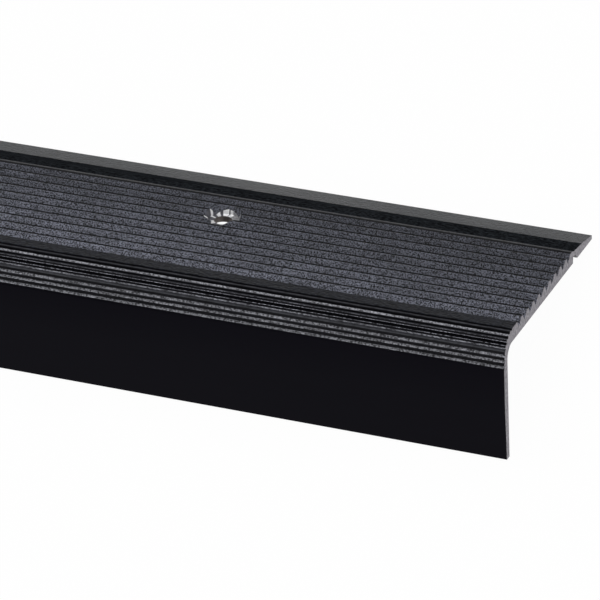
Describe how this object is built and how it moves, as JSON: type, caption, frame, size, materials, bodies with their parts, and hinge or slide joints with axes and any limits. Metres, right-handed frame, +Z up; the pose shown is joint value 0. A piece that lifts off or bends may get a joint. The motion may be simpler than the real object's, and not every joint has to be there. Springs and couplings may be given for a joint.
{
  "type": "stair nosing",
  "caption": "Extruded aluminium stair nosing: an L-shaped step edge with a toothed tread, a rounded nose of fine ribs, a plain leg and countersunk screw holes along the tread.",
  "frame": {"origin": "centre of the footprint, on the floor that the back tip of the tread and the foot of the leg both touch", "axes": "+X along the length, +Y from the nose towards the back of the tread, +Z up; the tread slopes down to the back by 26.5 degrees"},
  "size_m": [1, 0.057, 0.0254],
  "materials": {
    "black_coat": "black anodised, satin, with bare bright metal in the countersinks and on the sawn ends"
  },
  "bodies": {
    "root": {"nosing": "black_coat"}
  },
  "joints": []
}
